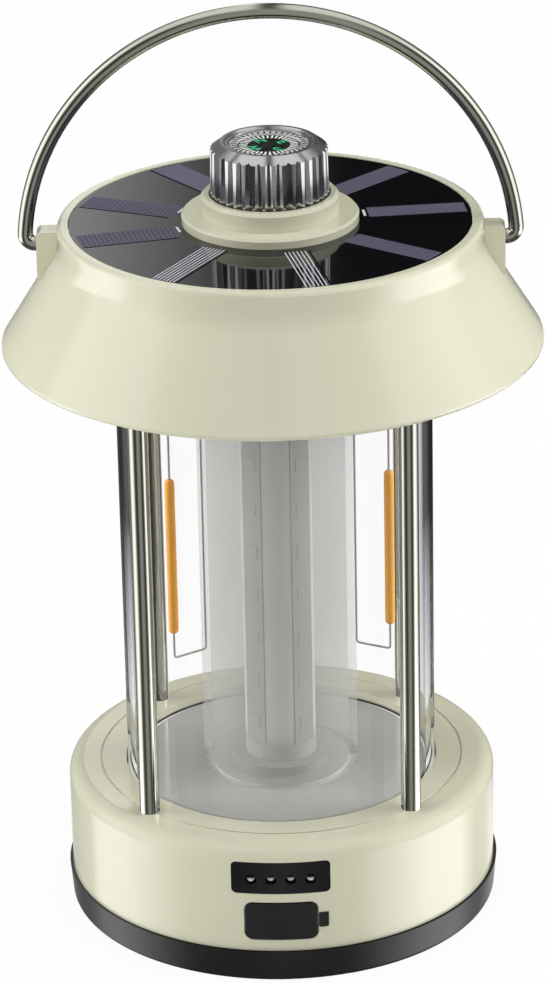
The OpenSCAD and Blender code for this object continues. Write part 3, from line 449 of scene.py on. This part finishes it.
# black marks on the rim of the capsule, between the ticks at rest
bm = bmesh.new()
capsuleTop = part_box("compass_capsule")[1].z
for i in range(dial["ticks"]):
    turn = Matrix.Rotation(math.radians(dial["turn"]) + 2 * math.pi * (i + 0.5) / dial["ticks"], 4, "Z")
    lift = Vector((dial["bezelRing"] * mm, 0, capsuleTop + dial["bezelInk"] / 2 * mm))
    addBar(bm, (*dial["bezelMark"], dial["bezelInk"]), turn @ Matrix.Translation(lift))
newPiece("capsule_marks", bm, gapBlack, "knob")
print("compass marked")


def straightLook(tree):
    # 1 for the camera's rays, also through glass, and 0 once a ray has been thrown back by a surface
    path = addNode(tree, "ShaderNodeLightPath")
    seen = addNode(tree, "ShaderNodeMath", None,
                   {0: path.outputs["Is Camera Ray"], 1: path.outputs["Is Transmission Ray"]}, operation="MAXIMUM")
    turns = addNode(tree, "ShaderNodeMath", None,
                    {0: path.outputs["Diffuse Depth"], 1: path.outputs["Glossy Depth"]}, operation="ADD")
    straight = addNode(tree, "ShaderNodeMath", {1: 0.5}, {0: turns.outputs[0]}, operation="LESS_THAN")
    return addNode(tree, "ShaderNodeMath", None, {0: seen.outputs[0], 1: straight.outputs[0]}, operation="MULTIPLY")


# studio: pale floor, two soft side lamps and one above, a surround with bright and dark sides for mirrors
studio = {
    "floor": ("#f6f6f4", "#f4f4f2"), "floorSize": 12, "floorDrop": 0.05, "lift": 0.94,
    "fill": 0.46, "below": 0.08, "throughGlass": 0.25, "wallGlow": 0.85,
    "above": (0.04, 0.88),  # over the middle and to both sides of it
    "bands": {  # where one part of the surround passes into the next, by a ray's direction
        "low": (-0.44, -0.458), "rise": (0.5, 0.85), "dip": (-0.5, -0.75), "aside": (0.03, 0.09),
        "behind": (-0.5, -0.75), "sinking": (-0.05, -0.2),
    },
    "lamps": [
        ("leftLamp", (-1.15, -0.06, 0.5), 0.8, 8),  # place and size in metres, watts
        ("rightLamp", (1.15, 0.08, 0.55), 0.8, 10),
        ("topLamp", (0, -0.2, 1.5), 1.0, 5.0),
    ],
    "aim": (0, 0, 0.1), "stripFade": 0.2,
    "wallLamp": ((0, -0.6, 1.2), 0.8, 10),  # stands for the light that the clear wall leads down to its gasket
    "sides": [  # what a mirror sees: degrees to the right of the camera's side, level
        (-180, 0.05), (-178.9, 0.08), (-178, 0.36), (-177.1, 0.86), (-176.2, 1.45), (-175, 1.45), (-171, 0.2),
        (-150, 0.2), (-112, 0.2), (-104, 1.3), (-90, 1.5), (-64, 1.5), (-54, 0.5), (-40, 0.06), (-22, 0.04),
        (-12, 0.25), (0, 0.34), (12, 0.34), (22, 0.2), (32, 0.05), (46, 0.05), (54, 0.4), (62, 1.5), (98, 1.5),
        (108, 0.6), (114, 0.2), (150, 0.15), (177, 0.01), (180, 0.01),
    ],
    "lowSides": [  # the same close to the floor, with a wide strip lamp on each side
        (-180, 0.8), (-165, 0.5), (-150, 0.25), (-128, 0.3), (-120, 1.8), (-112, 2.3), (-97, 2.9), (-88, 2.9),
        (-79, 2.3), (-68, 1.45), (-58, 0.5), (-52, 0.05), (-40, 0.05), (0, 0.34), (38, 0.05), (46, 0.5),
        (52, 1.5), (63, 2.3), (74, 3.4), (86, 4.2), (98, 3.5), (112, 2.9), (120, 1.4), (129, 0.3),
        (141, 0.4), (157, 1.0), (180, 0.8),
    ],
    "strips": [  # strip lamps that only the gloss of the shade catches: place, aim, width, height, level
        ("leftStrip", (-0.2697, 0.0178, 0.107), (-0.0107, -0.0572, 0.107), 0.228, 0.134, 1.9),
        ("rightStrip", (0.2675, -0.02, 0.107), (0, -0.014, 0.107), 0.282, 0.134, 2.4),
    ],
}
# seamless paper: matt and pale, it keeps the soft shadow
floorMaterial = finish("matt paper floor", {
    "light": studio["floor"][0], "dark": studio["floor"][1], "drift": 400, "grain": 1, "rough": (0.8, 0.9),
    "bump": 0.02, "sockets": {"Specular IOR Level": 0.1}})
tree = floorMaterial.node_tree
share = addNode(tree, "ShaderNodeMath", {1: studio["lift"]}, {0: straightLook(tree).outputs[0]}, operation="MULTIPLY")
paper = addNode(tree, "ShaderNodeEmission", {"Strength": 1.0})
mix = addNode(tree, "ShaderNodeMixShader", None,
              {0: share.outputs[0], 1: tree.nodes["Principled BSDF"].outputs[0], 2: paper.outputs[0]})
clear = addNode(tree, "ShaderNodeBsdfTransparent")
geometry = addNode(tree, "ShaderNodeNewGeometry")
sheet = addNode(tree, "ShaderNodeMixShader", None,  # seen from below the paper is not there
                {0: geometry.outputs["Backfacing"], 1: mix.outputs[0], 2: clear.outputs[0]})
tree.links.new(sheet.outputs[0], tree.nodes["Material Output"].inputs["Surface"])
bm = bmesh.new()
bmesh.ops.create_grid(bm, x_segments=1, y_segments=1, size=studio["floorSize"] / 2,
                      matrix=Matrix.Translation((0, 0, -studio["floorDrop"] * mm)))
mesh = bpy.data.meshes.new("floor")
bm.to_mesh(mesh)
bm.free()
floor = bpy.data.objects.new("floor", mesh)
scene.collection.objects.link(floor)
mesh.materials.append(floorMaterial)
floor.visible_glossy = False  # mirrors see the surround below the horizon too
floor.visible_transmission = False  # and so does glass


def placeLamp(name, place, aim, width, height, power):
    lampData = bpy.data.lights.new(name, "AREA")
    lampData.shape = "RECTANGLE"
    lampData.size = width
    lampData.size_y = height
    lampData.energy = power
    lamp = bpy.data.objects.new(name, lampData)
    lamp.location = place
    lamp.rotation_euler = (Vector(aim) - Vector(place)).to_track_quat("-Z", "Y").to_euler()
    scene.collection.objects.link(lamp)
    return lamp


def groupOf(name, piece):
    group = bpy.data.collections.new(name)
    group.objects.link(piece)
    return group


for name, place, size, power in studio["lamps"]:
    lamp = placeLamp(name, place, studio["aim"], size, size, power)
    lamp.visible_glossy = False  # the surround already shows them as its bright sides

place, size, power = studio["wallLamp"]
lamp = placeLamp("wallLamp", place, studio["aim"], size, size, power)
lamp.visible_camera = False
lamp.visible_glossy = False
lamp.light_linking.receiver_collection = groupOf("lit through the wall", nodes["lower_gasket"])
lamp.light_linking.blocker_collection = groupOf("shades the wall lamp", floor)

stripped = groupOf("lit by the strips", nodes["shade"])
for name, place, aim, width, height, level in studio["strips"]:
    lamp = placeLamp(name, place, aim, width, height, level * math.pi * width * height)
    lamp.visible_camera = False
    lamp.visible_diffuse = False
    lamp.light_linking.receiver_collection = stripped
    lamp.data.use_nodes = True  # the light fades out towards both ends
    tree = lamp.data.node_tree
    geometry = addNode(tree, "ShaderNodeNewGeometry")
    across = addNode(tree, "ShaderNodeSeparateXYZ", None, {0: geometry.outputs["Parametric"]})
    aside = addNode(tree, "ShaderNodeMath", {1: 0.5}, {0: across.outputs["X"]}, operation="SUBTRACT")
    aside = addNode(tree, "ShaderNodeMath", None, {0: aside.outputs[0]}, operation="ABSOLUTE")
    fade = addNode(tree, "ShaderNodeMapRange", {1: 0.5, 2: 0.5 - studio["stripFade"]}, {0: aside.outputs[0]})
    tree.links.new(fade.outputs[0], tree.nodes["Emission"].inputs["Strength"])

world = bpy.data.worlds.new("studio")
scene.world = world
world.use_nodes = True
tree = world.node_tree
path = addNode(tree, "ShaderNodeLightPath")
coords = addNode(tree, "ShaderNodeTexCoord")
flip = addNode(tree, "ShaderNodeMapping", {"Scale": (1, -1, 1)}, {0: coords.outputs["Generated"]})
axes = addNode(tree, "ShaderNodeSeparateXYZ", None, {0: flip.outputs[0]})
turn = addNode(tree, "ShaderNodeMath", None, {0: axes.outputs["X"], 1: axes.outputs["Y"]}, operation="ARCTAN2")
share = addNode(tree, "ShaderNodeMapRange", {1: -math.pi, 2: math.pi}, {0: turn.outputs[0]})
levels = []
for sides in (studio["sides"], studio["lowSides"]):
    ramp = addNode(tree, "ShaderNodeValToRGB", None, {0: share.outputs[0]})
    stops = ramp.color_ramp.elements
    for i, (degrees, value) in enumerate(sides):
        stop = stops[i] if i < 2 else stops.new(1)
        stop.position = (degrees + 180) / 360
        stop.color = (value, value, value, 1)
    levels.append(ramp.outputs[0])
aside = addNode(tree, "ShaderNodeMath", None, {0: axes.outputs["X"]}, operation="ABSOLUTE")
heading = {"behind": axes.outputs["Y"], "aside": aside.outputs[0]}
bands = {}
for name, (start, end) in studio["bands"].items():
    ease = "SMOOTHSTEP" if name in ("rise", "dip") else "LINEAR"
    band = addNode(tree, "ShaderNodeMapRange", {1: start, 2: end}, {0: heading.get(name, axes.outputs["Z"])},
                   interpolation_type=ease)
    bands[name] = band.outputs[0]
mirror = addNode(tree, "ShaderNodeMix", None, {0: bands["low"], 2: levels[0], 3: levels[1]})
above = addNode(tree, "ShaderNodeMix", {2: studio["above"][0], 3: studio["above"][1]}, {0: bands["aside"]})
mirror = addNode(tree, "ShaderNodeMix", None, {0: bands["rise"], 2: mirror.outputs[0], 3: above.outputs[0]})
mirror = addNode(tree, "ShaderNodeMix", {3: studio["below"]}, {0: bands["dip"], 2: mirror.outputs[0]})
glass = addNode(tree, "ShaderNodeMapRange", {1: 0.5, 2: 1.5, 3: 1, 4: studio["throughGlass"]},
                {0: path.outputs["Transmission Depth"]})
mirror = addNode(tree, "ShaderNodeMath", None, {0: mirror.outputs[0], 1: glass.outputs[0]}, operation="MULTIPLY")
# light led on inside the tube's wall comes from the pale ground behind it
passed = addNode(tree, "ShaderNodeMath", {1: 1}, {0: path.outputs["Transmission Depth"]}, operation="MINIMUM")
glow = addNode(tree, "ShaderNodeMath", None, {0: bands["behind"], 1: bands["sinking"]}, operation="MULTIPLY")
glow = addNode(tree, "ShaderNodeMath", None, {0: glow.outputs[0], 1: passed.outputs[0]}, operation="MULTIPLY")
mirror = addNode(tree, "ShaderNodeMix", {3: studio["wallGlow"]}, {0: glow.outputs[0], 2: mirror.outputs[0]})
clean = addNode(tree, "ShaderNodeMath", {1: 0.5}, {0: path.outputs["Diffuse Depth"]}, operation="LESS_THAN")
share = addNode(tree, "ShaderNodeMath", None, {0: path.outputs["Is Glossy Ray"], 1: clean.outputs[0]},
                operation="MULTIPLY")
soft = addNode(tree, "ShaderNodeMix", {2: studio["fill"]}, {0: share.outputs[0], 3: mirror.outputs[0]})
level = addNode(tree, "ShaderNodeMix", {3: 1.0}, {0: straightLook(tree).outputs[0], 2: soft.outputs[0]})
tree.links.new(level.outputs[0], tree.nodes["Background"].inputs["Strength"])
tree.nodes["Background"].inputs["Color"].default_value = (1, 1, 1, 1)
print("studio lit")

bpy.context.view_layer.update()
